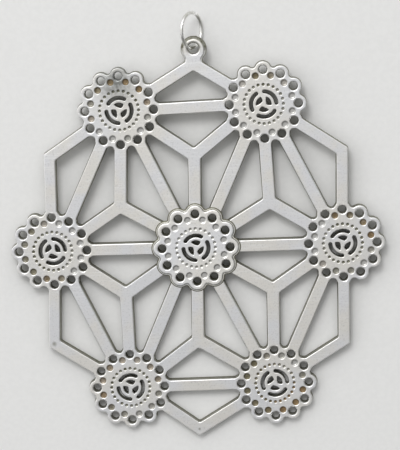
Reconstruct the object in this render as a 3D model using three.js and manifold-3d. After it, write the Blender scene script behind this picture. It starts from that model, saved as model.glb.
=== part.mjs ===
// Snowflake ornament: a flat openwork star of seven pierced rosettes joined by bars,
// with a hanging eye at the top and an open jump ring through the eye.
// It lies on its plain back. XY is the plate, +Y points to the hanging eye, z = 0 is the
// back face, and the origin is the middle of the centre rosette. Millimetres.

import * as THREE from 'three';
import { mergeVertices } from 'three/addons/utils/BufferGeometryUtils.js';
import Module from 'manifold-3d';

const wasm = await Module();
wasm.setup();

// Regular star: rosettes in three rows, their columns half a pitch apart. The side forks
// and side apexes rise from the middle row. The end forks and end apexes stand on the
// middle column, below and above the outer row.
const COLUMN_PITCH = 35;
const ROW_PITCH = 34;
const SIDE_FORK_RISE = 11;
const SIDE_APEX_RISE = 23;
const END_FORK_DROP = 11.4;
const END_APEX_RISE = 10.8;

// The star was put together by hand: how far everything stands beside its regular place
const ROSETTE_OFFSETS = {
  centre: [0, 0],
  right: [0.4, 0.1],
  top_right: [-0.2, 0.2],
  top_left: [0.2, -0.3],
  left: [0.2, 0],
  bottom_left: [0.3, -0.3],
  bottom_right: [0.6, -0.1],
};
const FORK_OFFSETS = {
  upper_right: [0.5, -0.4],
  top: [0.3, -0.3],
  upper_left: [-0.5, -0.5],
  lower_left: [0, -0.1],
  bottom: [-0.3, -0.4],
  lower_right: [0.8, 0.2],
};
const APEX_OFFSETS = {
  upper_right: [0.7, -0.5],
  top: [0.8, -0.5],
  upper_left: [0.4, -0.1],
  lower_left: [-0.5, 0],
  bottom: [-0.7, -0.5],
  lower_right: [0.2, -0.8],
};

// Plate: thickness, the lean of the cast walls and the eased upper edge
const PLATE_THICKNESS = 2;
const WALL_LEAN = 0.18;
const EDGE_WIDTH = 0.18;
const EDGE_DEPTH = 0.16;

// Widths of the bars at the back face
const SPOKE_WIDTH = 3.2;
const RIM_BAR_WIDTH = 3.15;
const FORK_WIDTH = 3.3;
const CHEVRON_WIDTH = 3.05;

// Roundings of the bars
const FLARE_RADIUS = 0.7;
const INNER_CORNER_RADIUS = 0.5;
const OUTER_CORNER_RADIUS = 0.8;

// Rosette outline: a lobe round each of the twelve holes
const HOLE_COUNT = 12;
const HOLE_CIRCLE_RADIUS = 8.24;
const LOBE_RADIUS = 2.1;
const VALLEY_RADIUS = 0.7;

// Rosette holes, narrower at the back than at the face
const HOLE_FACE_RADIUS = 1.08;
const HOLE_BACK_RADIUS = 0.9;

// Round dimples between the holes
const DIMPLE_CIRCLE_RADIUS = 7;
const DIMPLE_RADIUS = 0.83;
const DIMPLE_DEPTH = 0.4;

// Three curved slots
const SLOT_COUNT = 3;
const SLOT_CIRCLE_RADIUS = 3.03;
const SLOT_WIDTH = 0.94;
const SLOT_HALF_SPAN = THREE.MathUtils.degToRad(41);
const SLOT_DIRECTION = THREE.MathUtils.degToRad(105);

// Three comma-shaped openings that leave a swirl of three curved arms
const COMMA_OUTER_RADIUS = 1.86;
const COMMA_TIP_ANGLE = THREE.MathUtils.degToRad(128);
const COMMA_ROOT_ANGLE = THREE.MathUtils.degToRad(52);
const COMMA_ROOT_RADIUS = 0.76;
const COMMA_BULGE = 0.14;

// Centre rosette: a wide step that covers the solder joints, and the face on it
const STEP_LOBE_RADIUS = 2.6;
const STEP_VALLEY_RADIUS = 0.4;
const STEP_HEIGHT = 0.25;
const FACE_HEIGHT = 0.45;

// Hanging eye over the apex of the top chevron. Its hole stands a little above its middle.
const EYE_SHIFT = 0.15;
const EYE_RISE = 3.45;
const EYE_RADIUS = 3.12;
const EYE_HOLE_RADIUS = 1.25;
const EYE_HOLE_RISE = 0.25;
const EYE_RIM_WIDTH = 0.45;
const EYE_RIM_DEPTH = 0.45;
const EYE_FILLET_RADIUS = 0.75;

// The eye's upper half slopes off: its round is smaller and lower at the face
const EYE_SHOULDER_HEIGHT = 1.3;
const EYE_SHOULDER_INSET = 0.18;
const EYE_SHOULDER_DROP = 0.02;
const EYE_EDGE_INSET = 0.5;
const EYE_EDGE_DROP = 0.08;
const EYE_FACE_INSET = 0.77;
const EYE_FACE_DROP = 0.2;

// Jump ring: round wire, its ends a little apart
const RING_OUTER_DIAMETER = 9.1;
const RING_WIRE_DIAMETER = 0.82;
const RING_TURN = THREE.MathUtils.degToRad(58);
const RING_GAP = 0.6;
const RING_GAP_DIRECTION = THREE.MathUtils.degToRad(70);
const RING_CLEARANCE = 0.75;
const RING_SHIFT = -0.3;

// Fineness of the curves
const LOBE_STEPS = 5;
const VALLEY_STEPS = 2;
const FLARE_STEPS = 2;
const CORNER_STEPS = 2;
const EYE_STEPS = 16;
const HOLE_SIDES = 10;
const DIMPLE_SIDES = 6;
const SLOT_STEPS = 5;
const SLOT_END_STEPS = 3;
const COMMA_STEPS = 3;
const RING_SIDES = 8;
const RING_STEPS = 28;

// How far a cutting tool runs past the face or the back
const OVERRUN = 1;

const QUARTER = Math.PI / 2;
const LOBE_ANGLE = (2 * Math.PI) / HOLE_COUNT;

// Finishes: silvery cast metal, a little duller where tarnish collects in the rosettes
const barMetal = { color: 0xd2d3d3, roughness: 0.36, metalness: 0.9 };
const rosetteMetal = { color: 0xc6c4bc, roughness: 0.42, metalness: 0.9 };
const raisedMetal = { color: 0xd6d6d2, roughness: 0.34, metalness: 0.9 };
const wireMetal = { color: 0xdcdcdc, roughness: 0.2, metalness: 1 };

const group = new THREE.Group();

// Helpers for points in the plate's plane

function polar(radius, angle) {
  return new THREE.Vector2(radius * Math.cos(angle), radius * Math.sin(angle));
}

function arc(centre, radius, from, to, steps) {
  const points = [];
  for (let i = 0; i <= steps; i += 1) {
    points.push(polar(radius, from + ((to - from) * i) / steps).add(centre));
  }
  return points;
}

// Helpers for solids

function toSolid(geometry) {
  const bare = geometry.clone();
  bare.deleteAttribute('normal');
  bare.deleteAttribute('uv');
  const merged = mergeVertices(bare, 1e-5);
  return new wasm.Manifold(new wasm.Mesh({
    numProp: 3,
    vertProperties: new Float32Array(merged.attributes.position.array),
    triVerts: new Uint32Array(merged.index.array),
  }));
}

function toGeometry(solid) {
  const mesh = solid.getMesh();
  const geometry = new THREE.BufferGeometry();
  geometry.setAttribute('position', new THREE.BufferAttribute(new Float32Array(mesh.vertProperties), 3));
  geometry.setIndex(new THREE.BufferAttribute(new Uint32Array(mesh.triVerts), 1));
  geometry.computeVertexNormals();
  return geometry;
}

// A closed solid through a stack of outlines, each with the same number of points
function stack(levels) {
  const count = levels[0].points.length;
  const positions = [];
  for (const level of levels) {
    for (const point of level.points) {
      positions.push(point.x, point.y, level.z);
    }
  }
  const index = [];
  for (let layer = 0; layer < levels.length - 1; layer += 1) {
    for (let i = 0; i < count; i += 1) {
      const a = layer * count + i;
      const b = layer * count + ((i + 1) % count);
      index.push(a, b, b + count, a, b + count, a + count);
    }
  }
  const top = (levels.length - 1) * count;
  for (const [a, b, c] of THREE.ShapeUtils.triangulateShape(levels[0].points, [])) {
    index.push(a, c, b);
  }
  for (const [a, b, c] of THREE.ShapeUtils.triangulateShape(levels.at(-1).points, [])) {
    index.push(top + a, top + b, top + c);
  }
  const geometry = new THREE.BufferGeometry();
  geometry.setAttribute('position', new THREE.Float32BufferAttribute(positions, 3));
  geometry.setIndex(index);
  geometry.computeVertexNormals();
  return geometry;
}

// The cast section: a wall that leans in from the back face, then the eased upper edge
function castSlab(outlineAt, height = PLATE_THICKNESS) {
  return stack([
    { z: 0, points: outlineAt(0) },
    { z: height - EDGE_DEPTH, points: outlineAt(WALL_LEAN) },
    { z: height, points: outlineAt(WALL_LEAN + EDGE_WIDTH) },
  ]);
}

function add(name, geometry, finish, x = 0, y = 0, z = 0, turn = 0) {
  const mesh = new THREE.Mesh(geometry, new THREE.MeshStandardMaterial(finish));
  mesh.name = name;
  mesh.position.set(x, y, z);
  mesh.rotation.z = turn;
  group.add(mesh);
  return mesh;
}

// Regular places, each moved by its hand-set offset
function handSet(places, offsets) {
  const moved = Object.entries(places).map(([name, at]) => {
    return [name, new THREE.Vector2(...at).add(new THREE.Vector2(...offsets[name]))];
  });
  return Object.fromEntries(moved);
}

const HALF_PITCH = COLUMN_PITCH / 2;
const END_FORK_Y = ROW_PITCH - END_FORK_DROP;
const END_APEX_Y = ROW_PITCH + END_APEX_RISE;
const rosettePlaces = handSet(
  {
    centre: [0, 0],
    right: [COLUMN_PITCH, 0],
    top_right: [HALF_PITCH, ROW_PITCH],
    top_left: [-HALF_PITCH, ROW_PITCH],
    left: [-COLUMN_PITCH, 0],
    bottom_left: [-HALF_PITCH, -ROW_PITCH],
    bottom_right: [HALF_PITCH, -ROW_PITCH],
  },
  ROSETTE_OFFSETS,
);
const forkPlaces = handSet(
  {
    upper_right: [HALF_PITCH, SIDE_FORK_RISE],
    top: [0, END_FORK_Y],
    upper_left: [-HALF_PITCH, SIDE_FORK_RISE],
    lower_left: [-HALF_PITCH, -SIDE_FORK_RISE],
    bottom: [0, -END_FORK_Y],
    lower_right: [HALF_PITCH, -SIDE_FORK_RISE],
  },
  FORK_OFFSETS,
);
const apexPlaces = handSet(
  {
    upper_right: [COLUMN_PITCH, SIDE_APEX_RISE],
    top: [0, END_APEX_Y],
    upper_left: [-COLUMN_PITCH, SIDE_APEX_RISE],
    lower_left: [-COLUMN_PITCH, -SIDE_APEX_RISE],
    bottom: [0, -END_APEX_Y],
    lower_right: [COLUMN_PITCH, -SIDE_APEX_RISE],
  },
  APEX_OFFSETS,
);
const eyePlace = new THREE.Vector2(EYE_SHIFT, EYE_RISE).add(apexPlaces.top);

// Rosettes by place. The swirl of every second one is turned by two holes.
const turnedRosettes = ['top_right', 'left', 'bottom_right'];
const rosettes = {};
for (const [place, at] of Object.entries(rosettePlaces)) {
  const turn = turnedRosettes.includes(place) ? 2 * LOBE_ANGLE : 0;
  rosettes[place] = { at, turn, seats: [] };
}

// The middle of the rosette's hole that faces a point
function lobeFacing(rosette, point) {
  const away = point.clone().sub(rosette.at);
  const number = Math.round(Math.atan2(away.y, away.x) / LOBE_ANGLE);
  return polar(HOLE_CIRCLE_RADIUS, number * LOBE_ANGLE).add(rosette.at);
}

// Where a bar of a given half width meets a lobe: the flare that joins them is tangent to
// the bar's side and to the lobe, and the bar butts on a flat where the flare ends
function flareOf(halfWidth) {
  const reach = LOBE_RADIUS + FLARE_RADIUS;
  const start = Math.sqrt(reach ** 2 - (halfWidth + FLARE_RADIUS) ** 2);
  const seat = (start * LOBE_RADIUS) / reach;
  const seatHalfWidth = ((halfWidth + FLARE_RADIUS) * LOBE_RADIUS) / reach;
  return { start, seat, seatHalfWidth };
}

// Arms that run from one point to the facing lobes of some rosettes, in order of angle
function armsFrom(point, ends, halfWidth) {
  const arms = ends.map((rosette) => {
    const lobe = lobeFacing(rosette, point);
    const along = lobe.clone().sub(point);
    const angle = Math.atan2(along.y, along.x);
    rosette.seats.push({ lobe, angle: angle + Math.PI, halfWidth });
    return { angle, length: along.length() };
  });
  return arms.sort((a, b) => a.angle - b.angle);
}

// One side of an arm's flared end, from the straight side to the flat end
function flareSide(arm, halfWidth, inset, side) {
  const { start, seat } = flareOf(halfWidth);
  const radius = FLARE_RADIUS + inset;
  const sweep = Math.asin((start - seat) / radius);
  const along = polar(1, arm.angle);
  const across = polar(side, arm.angle + QUARTER);
  const points = [];
  for (let i = 0; i <= FLARE_STEPS; i += 1) {
    const angle = (sweep * i) / FLARE_STEPS;
    const x = arm.length - start + radius * Math.sin(angle);
    const y = halfWidth + FLARE_RADIUS - radius * Math.cos(angle);
    points.push(along.clone().multiplyScalar(x).addScaledVector(across, y));
  }
  return points;
}

// The rounded corner between the left side of one arm and the right side of the next.
// Less than half a turn gives an inner corner, more gives an outer one.
function cornerBetween(arm, next, halfWidth, inset) {
  const turn = THREE.MathUtils.euclideanModulo(next.angle - arm.angle, 2 * Math.PI);
  const sweep = turn - Math.PI;
  const side = sweep < 0 ? -1 : 1;
  const radius = side < 0 ? INNER_CORNER_RADIUS : OUTER_CORNER_RADIUS;
  const reach = (halfWidth - side * radius) / Math.sin(turn / 2);
  const centre = polar(reach, arm.angle + turn / 2);
  const from = arm.angle + QUARTER;
  return arc(centre, side * (radius - side * inset), from, from + sweep, CORNER_STEPS);
}

// Outline of flat bars that meet in one point, as seen from that point
function webOutline(arms, halfWidth, inset, cornerFor = cornerBetween) {
  const points = [];
  arms.forEach((arm, i) => {
    const next = arms[(i + 1) % arms.length];
    points.push(...flareSide(arm, halfWidth, inset, -1));
    points.push(...flareSide(arm, halfWidth, inset, 1).reverse());
    points.push(...cornerFor(arm, next, halfWidth, inset));
  });
  return points;
}

// Straight bars: spokes from the centre and rim bars between neighbours
function addBar(name, from, to, width) {
  const start = lobeFacing(from, to.at);
  const end = lobeFacing(to, from.at);
  const along = end.clone().sub(start);
  const middle = start.clone().add(end).multiplyScalar(0.5);
  const angle = Math.atan2(along.y, along.x);
  const halfWidth = width / 2;
  const arms = [
    { angle: 0, length: along.length() / 2 },
    { angle: Math.PI, length: along.length() / 2 },
  ];
  from.seats.push({ lobe: start, angle, halfWidth });
  to.seats.push({ lobe: end, angle: angle + Math.PI, halfWidth });
  const noCorner = () => [];
  const geometry = castSlab((inset) => webOutline(arms, halfWidth, inset, noCorner));
  return add(name, geometry, barMetal, middle.x, middle.y, 0, angle);
}

const ringOrder = ['right', 'top_right', 'top_left', 'left', 'bottom_left', 'bottom_right'];
const sideNames = ['upper_right', 'top', 'upper_left', 'lower_left', 'bottom', 'lower_right'];

ringOrder.forEach((place, i) => {
  const neighbour = ringOrder[(i + 1) % ringOrder.length];
  addBar(`spoke_${place}`, rosettes.centre, rosettes[place], SPOKE_WIDTH);
  addBar(`rim_bar_${sideNames[i]}`, rosettes[place], rosettes[neighbour], RIM_BAR_WIDTH);
});

// Forks: three arms that meet between the centre and two neighbouring rosettes
sideNames.forEach((side, i) => {
  const at = forkPlaces[side];
  const ends = [rosettes.centre, rosettes[ringOrder[i]], rosettes[ringOrder[(i + 1) % ringOrder.length]]];
  const halfWidth = FORK_WIDTH / 2;
  const arms = armsFrom(at, ends, halfWidth);
  add(`fork_${side}`, castSlab((inset) => webOutline(arms, halfWidth, inset)), barMetal, at.x, at.y);
});

// The fillet between one side of an arm and the eye. It starts on the arm's left side or
// ends on the arm's right side.
function eyeFillet(arm, eye, eyeRadius, halfWidth, radius, side) {
  const along = polar(1, arm.angle);
  const normal = polar(side, arm.angle + QUARTER);
  const lift = halfWidth + radius;
  const rise = normal.dot(eye) - lift;
  const slide = along.dot(eye) + Math.sqrt((eyeRadius + radius) ** 2 - rise ** 2);
  const centre = along.multiplyScalar(slide).addScaledVector(normal, lift);
  const toArm = Math.atan2(-normal.y, -normal.x);
  const toEye = Math.atan2(eye.y - centre.y, eye.x - centre.x);
  const sweep = side * THREE.MathUtils.euclideanModulo(side * (toArm - toEye), 2 * Math.PI);
  return { meet: toEye + Math.PI, points: arc(centre, radius, toArm, toArm - sweep, CORNER_STEPS + 1) };
}

// The outer corner of the top chevron grows into the round eye, with a fillet at each side
function eyeCorner(eye, eyeInset) {
  return (arm, next, halfWidth, inset) => {
    const turn = THREE.MathUtils.euclideanModulo(next.angle - arm.angle, 2 * Math.PI);
    if (turn < Math.PI) {
      return cornerBetween(arm, next, halfWidth, inset);
    }
    const radius = EYE_FILLET_RADIUS + inset;
    const eyeRadius = EYE_RADIUS - eyeInset;
    const right = eyeFillet(arm, eye, eyeRadius, halfWidth - inset, radius, 1);
    const left = eyeFillet(next, eye, eyeRadius, halfWidth - inset, radius, -1);
    const sweep = THREE.MathUtils.euclideanModulo(left.meet - right.meet, 2 * Math.PI);
    const round = arc(eye, eyeRadius, right.meet, right.meet + sweep, EYE_STEPS);
    return [...right.points, ...round.slice(1, -1), ...left.points.reverse()];
  };
}

// The hole of the eye, a little above its middle and widened towards both faces
function eyeHole(eye) {
  const wide = EYE_HOLE_RADIUS + EYE_RIM_WIDTH;
  const profile = [
    new THREE.Vector2(0, -OVERRUN),
    new THREE.Vector2(wide, -OVERRUN),
    new THREE.Vector2(wide, 0),
    new THREE.Vector2(EYE_HOLE_RADIUS, EYE_RIM_DEPTH),
    new THREE.Vector2(EYE_HOLE_RADIUS, PLATE_THICKNESS - EYE_RIM_DEPTH),
    new THREE.Vector2(wide, PLATE_THICKNESS),
    new THREE.Vector2(wide, PLATE_THICKNESS + OVERRUN),
    new THREE.Vector2(0, PLATE_THICKNESS + OVERRUN),
  ];
  return new THREE.LatheGeometry(profile, EYE_STEPS)
    .rotateX(QUARTER)
    .translate(eye.x, eye.y + EYE_HOLE_RISE, 0);
}

sideNames.forEach((side, i) => {
  const at = apexPlaces[side];
  const ends = [rosettes[ringOrder[i]], rosettes[ringOrder[(i + 1) % ringOrder.length]]];
  const halfWidth = CHEVRON_WIDTH / 2;
  const arms = armsFrom(at, ends, halfWidth);
  if (side === 'top') {
    const eye = eyePlace.clone().sub(at);
    const slice = (z, inset, eyeInset, drop) => {
      const corner = eyeCorner(new THREE.Vector2(eye.x, eye.y - drop), eyeInset);
      return { z, points: webOutline(arms, halfWidth, inset, corner) };
    };
    const body = stack([
      slice(0, 0, 0, 0),
      slice(
        EYE_SHOULDER_HEIGHT,
        (WALL_LEAN * EYE_SHOULDER_HEIGHT) / (PLATE_THICKNESS - EDGE_DEPTH),
        EYE_SHOULDER_INSET,
        EYE_SHOULDER_DROP,
      ),
      slice(PLATE_THICKNESS - EDGE_DEPTH, WALL_LEAN, EYE_EDGE_INSET, EYE_EDGE_DROP),
      slice(PLATE_THICKNESS, WALL_LEAN + EDGE_WIDTH, EYE_FACE_INSET, EYE_FACE_DROP),
    ]);
    const pierced = toSolid(body).subtract(toSolid(eyeHole(eye)));
    add('chevron_top_with_eye', toGeometry(pierced), barMetal, at.x, at.y);
  } else {
    add(`chevron_${side}`, castSlab((inset) => webOutline(arms, halfWidth, inset)), barMetal, at.x, at.y);
  }
});

// Rosette outline: lobes round the hole circle with a fillet in each valley
function scallop(lobeRadius, valleyRadius, inset = 0) {
  const half = LOBE_ANGLE / 2;
  const across = HOLE_CIRCLE_RADIUS * Math.sin(half);
  const reach = lobeRadius + valleyRadius;
  const valleyAt = HOLE_CIRCLE_RADIUS * Math.cos(half) + Math.sqrt(reach ** 2 - across ** 2);
  const toValley = polar(valleyAt, half).sub(polar(HOLE_CIRCLE_RADIUS, 0));
  const spread = Math.atan2(toValley.y, toValley.x);
  const points = [];
  for (let i = 0; i < HOLE_COUNT; i += 1) {
    const angle = i * LOBE_ANGLE;
    const lobe = polar(HOLE_CIRCLE_RADIUS, angle);
    const valley = polar(valleyAt, angle + half);
    points.push(...arc(lobe, lobeRadius - inset, angle - spread, angle + spread, LOBE_STEPS));
    const from = angle + spread + Math.PI;
    const to = angle + LOBE_ANGLE - spread + Math.PI;
    points.push(...arc(valley, valleyRadius + inset, from, to, VALLEY_STEPS).slice(1, -1));
  }
  return points;
}

// Tools that pierce or stamp a rosette whose face is at height `face` over its back

function ringOfTools(count, radius, firstAngle, makeTool) {
  const tools = [];
  for (let i = 0; i < count; i += 1) {
    const at = polar(radius, firstAngle + (i * 2 * Math.PI) / count);
    tools.push(toSolid(makeTool().translate(at.x, at.y, 0)));
  }
  return tools;
}

function holeTools(face) {
  const slope = (HOLE_FACE_RADIUS - HOLE_BACK_RADIUS) / face;
  const wide = HOLE_FACE_RADIUS + slope * OVERRUN;
  const narrow = HOLE_BACK_RADIUS - slope * OVERRUN;
  const length = face + 2 * OVERRUN;
  return ringOfTools(HOLE_COUNT, HOLE_CIRCLE_RADIUS, 0, () => (
    new THREE.CylinderGeometry(wide, narrow, length, HOLE_SIDES).rotateX(QUARTER).translate(0, 0, face / 2)
  ));
}

// A cone whose point sinks to the dimple's depth and whose middle lies in the face
function dimpleTools(face) {
  return ringOfTools(HOLE_COUNT, DIMPLE_CIRCLE_RADIUS, LOBE_ANGLE / 2, () => (
    new THREE.ConeGeometry(2 * DIMPLE_RADIUS, 2 * DIMPLE_DEPTH, DIMPLE_SIDES)
      .rotateX(-QUARTER)
      .translate(0, 0, face)
  ));
}

function slotShape() {
  const outer = SLOT_CIRCLE_RADIUS + SLOT_WIDTH / 2;
  const inner = SLOT_CIRCLE_RADIUS - SLOT_WIDTH / 2;
  const first = -SLOT_HALF_SPAN;
  const last = SLOT_HALF_SPAN;
  const centre = new THREE.Vector2();
  const firstEnd = polar(SLOT_CIRCLE_RADIUS, first);
  const lastEnd = polar(SLOT_CIRCLE_RADIUS, last);
  return new THREE.Shape([
    ...arc(centre, outer, first, last, SLOT_STEPS),
    ...arc(lastEnd, SLOT_WIDTH / 2, last, last + Math.PI, SLOT_END_STEPS).slice(1, -1),
    ...arc(centre, inner, last, first, SLOT_STEPS),
    ...arc(firstEnd, SLOT_WIDTH / 2, first + Math.PI, first + 2 * Math.PI, SLOT_END_STEPS).slice(1, -1),
  ]);
}

// From the tip along the outer circle to the root, in to the root corner, and back along
// a slightly bulging edge to the tip
function commaShape() {
  const centre = new THREE.Vector2();
  const corner = polar(COMMA_ROOT_RADIUS, COMMA_ROOT_ANGLE);
  const tip = polar(COMMA_OUTER_RADIUS, COMMA_TIP_ANGLE);
  const outer = arc(centre, COMMA_OUTER_RADIUS, COMMA_ROOT_ANGLE, COMMA_TIP_ANGLE, COMMA_STEPS);
  const root = polar(COMMA_OUTER_RADIUS, COMMA_ROOT_ANGLE);
  const rootMiddle = root.clone().add(corner).multiplyScalar(0.5);
  const rootBulge = rootMiddle.add(polar(COMMA_BULGE, COMMA_ROOT_ANGLE - QUARTER));
  const edge = tip.clone().sub(corner);
  const edgeMiddle = tip.clone().add(corner).multiplyScalar(0.5);
  const edgeBulge = edgeMiddle.add(polar(COMMA_BULGE, Math.atan2(edge.y, edge.x) + QUARTER));
  return new THREE.Shape([...outer, edgeBulge, corner, rootBulge]);
}

function swirlTools(face) {
  const length = face + 2 * OVERRUN;
  const settings = { depth: length, bevelEnabled: false, curveSegments: 1 };
  const tools = [];
  for (let i = 0; i < SLOT_COUNT; i += 1) {
    const turn = (i * 2 * Math.PI) / SLOT_COUNT;
    const slot = new THREE.ExtrudeGeometry(slotShape(), settings).rotateZ(SLOT_DIRECTION + turn);
    const comma = new THREE.ExtrudeGeometry(commaShape(), settings).rotateZ(turn);
    tools.push(toSolid(slot.translate(0, 0, -OVERRUN)));
    tools.push(toSolid(comma.translate(0, 0, -OVERRUN)));
  }
  return tools;
}

// The flat on each lobe that carries a bar, in the frame of the rosette
function seatTools(rosette, turn) {
  const height = PLATE_THICKNESS + 2 * OVERRUN;
  return rosette.seats.map(({ lobe, angle, halfWidth }) => {
    const { seat, seatHalfWidth } = flareOf(halfWidth);
    const depth = LOBE_RADIUS;
    const width = 2 * (seatHalfWidth + WALL_LEAN / 2);
    const block = new THREE.BoxGeometry(depth, width, height);
    block.translate(seat + depth / 2, 0, PLATE_THICKNESS / 2);
    block.rotateZ(angle);
    block.translate(lobe.x - rosette.at.x, lobe.y - rosette.at.y, 0);
    return toSolid(block.rotateZ(-turn));
  });
}

function pierce(geometry, tools) {
  return toGeometry(tools.reduce((solid, tool) => solid.subtract(tool), toSolid(geometry)));
}

// Six outer rosettes, flush with the bars
for (const place of ringOrder) {
  const rosette = rosettes[place];
  const blank = castSlab((inset) => scallop(LOBE_RADIUS, VALLEY_RADIUS, inset));
  const tools = [
    ...seatTools(rosette, rosette.turn),
    ...holeTools(PLATE_THICKNESS),
    ...dimpleTools(PLATE_THICKNESS),
    ...swirlTools(PLATE_THICKNESS),
  ];
  add(`rosette_${place}`, pierce(blank, tools), rosetteMetal, rosette.at.x, rosette.at.y, 0, rosette.turn);
}

// Centre: a hub that the twelve inner bars are soldered to
const hubBlank = stack([
  { z: 0, points: scallop(LOBE_RADIUS, VALLEY_RADIUS) },
  { z: PLATE_THICKNESS, points: scallop(LOBE_RADIUS, VALLEY_RADIUS, WALL_LEAN) },
]);
const hubTools = [
  ...seatTools(rosettes.centre, rosettes.centre.turn),
  ...holeTools(PLATE_THICKNESS),
  ...swirlTools(PLATE_THICKNESS),
];
add('centre_hub', pierce(hubBlank, hubTools), barMetal);

// A raised rosette on the hub. Its wide step rests on the ends of the bars.
const raisedHeight = STEP_HEIGHT + FACE_HEIGHT;
const step = stack([
  { z: 0, points: scallop(STEP_LOBE_RADIUS, STEP_VALLEY_RADIUS) },
  { z: STEP_HEIGHT, points: scallop(STEP_LOBE_RADIUS, STEP_VALLEY_RADIUS, STEP_HEIGHT / 2) },
]);
const face = castSlab((inset) => scallop(LOBE_RADIUS, VALLEY_RADIUS, inset), raisedHeight);
const raisedBlank = toGeometry(toSolid(step).add(toSolid(face)));
const raisedTools = [...holeTools(raisedHeight), ...dimpleTools(raisedHeight), ...swirlTools(raisedHeight)];
add('centre_rosette', pierce(raisedBlank, raisedTools), raisedMetal, 0, 0, PLATE_THICKNESS);

// Jump ring: round wire bent along a circle, open between its two ends
class RingCurve extends THREE.Curve {
  constructor(radius, from, to) {
    super();
    this.radius = radius;
    this.from = from;
    this.to = to;
  }

  getPoint(t, target = new THREE.Vector3()) {
    const angle = this.from + (this.to - this.from) * t;
    return target.set(this.radius * Math.cos(angle), this.radius * Math.sin(angle), 0);
  }
}

const wireRadius = RING_WIRE_DIAMETER / 2;
const ringRadius = RING_OUTER_DIAMETER / 2 - wireRadius;
const halfGap = RING_GAP / ringRadius / 2;
const ringPath = new RingCurve(
  ringRadius,
  RING_GAP_DIRECTION + halfGap,
  RING_GAP_DIRECTION + 2 * Math.PI - halfGap,
);
const wireSection = new THREE.Shape(arc(new THREE.Vector2(), wireRadius, 0, 2 * Math.PI, RING_SIDES).slice(0, -1));
const ringGeometry = new THREE.ExtrudeGeometry(wireSection, {
  steps: RING_STEPS,
  extrudePath: ringPath,
  curveSegments: 1,
});

// The ring passes through the eye's hole, close to the wall that it hangs from, and its
// plane is turned about the plate's long axis
const holeTop = eyePlace.y + EYE_HOLE_RISE + EYE_HOLE_RADIUS;
const ringX = eyePlace.x + RING_SHIFT;
const ringY = holeTop - RING_CLEARANCE - wireRadius + ringRadius;
const ring = add('jump_ring', ringGeometry, wireMetal, ringX, ringY, PLATE_THICKNESS / 2);
ring.rotation.y = RING_TURN;

export default group;
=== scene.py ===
# %% [markdown]
# Snowflake ornament, lying on its plain back on a pale table.
#
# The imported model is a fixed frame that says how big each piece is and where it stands.
# Its solids are too coarse for round edges and small pits, so this lesson models the bars,
# the hanging eye, the pierced rosettes and the jump ring afresh in the same places. Only
# the hub, which is hidden under the centre rosette, keeps its solid. The camera, the
# light and the brushed and tarnished look of the metal come first, then the pieces.

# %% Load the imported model
import math

import bmesh
import bpy
from mathutils import Matrix, Vector


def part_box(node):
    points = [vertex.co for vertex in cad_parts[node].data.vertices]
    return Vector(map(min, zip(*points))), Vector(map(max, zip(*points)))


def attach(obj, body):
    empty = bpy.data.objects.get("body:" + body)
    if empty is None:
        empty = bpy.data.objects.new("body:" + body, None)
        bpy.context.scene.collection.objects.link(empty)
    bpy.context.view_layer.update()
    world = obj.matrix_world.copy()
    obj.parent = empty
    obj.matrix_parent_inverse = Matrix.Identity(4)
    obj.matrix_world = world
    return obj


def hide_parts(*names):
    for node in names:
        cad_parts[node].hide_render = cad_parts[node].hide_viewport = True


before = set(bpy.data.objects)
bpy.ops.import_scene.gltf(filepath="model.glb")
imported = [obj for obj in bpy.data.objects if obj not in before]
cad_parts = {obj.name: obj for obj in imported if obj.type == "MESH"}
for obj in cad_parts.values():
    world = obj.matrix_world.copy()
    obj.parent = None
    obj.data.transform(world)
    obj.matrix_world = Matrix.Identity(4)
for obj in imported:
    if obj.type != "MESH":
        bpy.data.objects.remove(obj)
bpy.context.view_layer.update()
MM = 0.001

# %% [markdown]
# The camera looks down on the ornament from nearly above, leaning a little towards the
# hanging eye, so the upper rows look slightly larger. A long lens keeps the perspective
# weak. The lens is worked out from how many pixels one metre fills at one metre away,
# because the sensor's width belongs to the longer side of the picture.

# %% Camera
PICTURE_HEIGHT = 450
PIXELS_PER_METRE_AT_ONE_METRE = 1775
SENSOR_WIDTH = 36
NEAREST = 0.01
CAMERA_DISTANCE = 0.43
LEAN_RIGHT = math.radians(2.44)
LEAN_UP = math.radians(9.12)
ROLL = math.radians(1.95)
LOOK_AT = Vector((0.00103, 0.00517, 0))


def aim_camera():
    data = bpy.data.cameras.new("camera")
    data.sensor_width = SENSOR_WIDTH
    data.lens = SENSOR_WIDTH * PIXELS_PER_METRE_AT_ONE_METRE / PICTURE_HEIGHT
    data.clip_start = NEAREST
    camera = bpy.data.objects.new("camera", data)
    bpy.context.scene.collection.objects.link(camera)
    back = Vector((math.sin(LEAN_RIGHT), math.sin(LEAN_UP), 0))
    back.z = math.sqrt(1 - back.length_squared)
    up = Vector((math.sin(ROLL), math.cos(ROLL), 0))
    right = up.cross(back).normalized()
    turn = Matrix((right, back.cross(right), back)).transposed().to_4x4()
    camera.matrix_world = Matrix.Translation(LOOK_AT + back * CAMERA_DISTANCE) @ turn
    bpy.context.scene.camera = camera
    return camera


camera = aim_camera()
print("camera lens, mm:", round(camera.data.lens, 1))

# %% [markdown]
# The table. On a hard surface the ornament can't lie quite flat, because the wire of the
# jump ring passes under the eye and props the top up. The table is a plane that touches
# both the lowest point of the ring and the back edge of the bottom chevron, so nothing
# floats and nothing sinks in. Its lean is less than two degrees.

# %% Table
TABLE_SIZE = 6.0


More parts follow.
